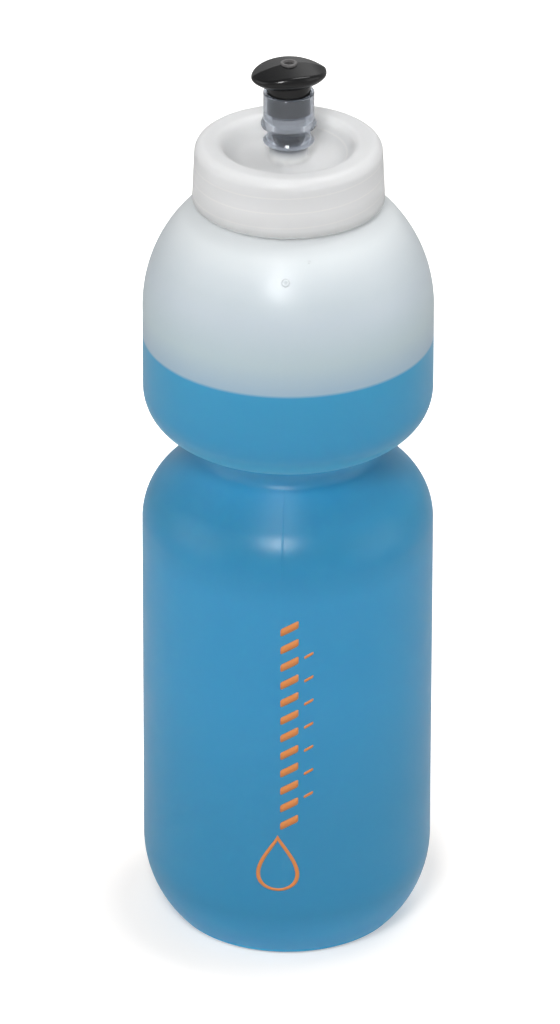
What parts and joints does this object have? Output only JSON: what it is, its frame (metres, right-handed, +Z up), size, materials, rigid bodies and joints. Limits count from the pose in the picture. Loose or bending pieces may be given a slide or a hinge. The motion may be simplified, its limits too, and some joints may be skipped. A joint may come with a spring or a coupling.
{
  "type": "sports squeeze bottle",
  "caption": "Squeezable drinking bottle with a finger waist, a threaded dished screw cap and a push-pull nozzle with a soft oval mouthpiece.",
  "frame": {"origin": "centre of the base, in the plane that the bottle stands on", "axes": "+Z up along the bottle's axis, which is also the axis of the cap's thread and of the valve; -Y is the front"},
  "size_m": [0.074, 0.074, 0.2396],
  "materials": {
    "bottle_plastic": "natural soft polyethylene, frosted and translucent",
    "cap_plastic": "natural polypropylene, satin and slightly translucent",
    "gasket_rubber": "white soft seal",
    "seal_rubber": "black seal ring",
    "clear_plastic": "clear rigid plastic, polished",
    "soft_mouthpiece": "black soft elastomer, semi-gloss",
    "outlet_plastic": "dark grey rigid plastic, semi-gloss"
  },
  "bodies": {
    "bottle": {"bottle_body": "bottle_plastic"},
    "cap_seal": {"cap_gasket": "gasket_rubber"},
    "cap": {"screw_cap": "cap_plastic", "nozzle_seal_ring": "seal_rubber"},
    "nozzle": {"nozzle_collar": "clear_plastic"},
    "mouth": {"mouthpiece": "soft_mouthpiece", "outlet_ring": "outlet_plastic"}
  },
  "joints": [
    {"name": "cap_rise", "type": "slide", "parent": "bottle", "child": "cap_seal", "axis": [0, 0, 1], "range_m": [0, 0.00901]},
    {"name": "cap_turn", "type": "hinge", "parent": "cap_seal", "child": "cap", "pos_m": [0, 0, 0.21], "axis": [0, 0, 1], "range_deg": [0, 810]},
    {"name": "nozzle_pull", "type": "slide", "parent": "cap", "child": "nozzle", "axis": [0, 0, 1], "range_m": [0, 0.0046]},
    {"name": "nozzle_spin", "type": "hinge", "parent": "nozzle", "child": "mouth", "pos_m": [0, 0, 0.235], "axis": [0, 0, 1], "continuous": true}
  ],
  "couplings": [
    {"joint": "cap_rise", "follows": "cap_turn", "m_per_rad": 0.00063662}
  ]
}
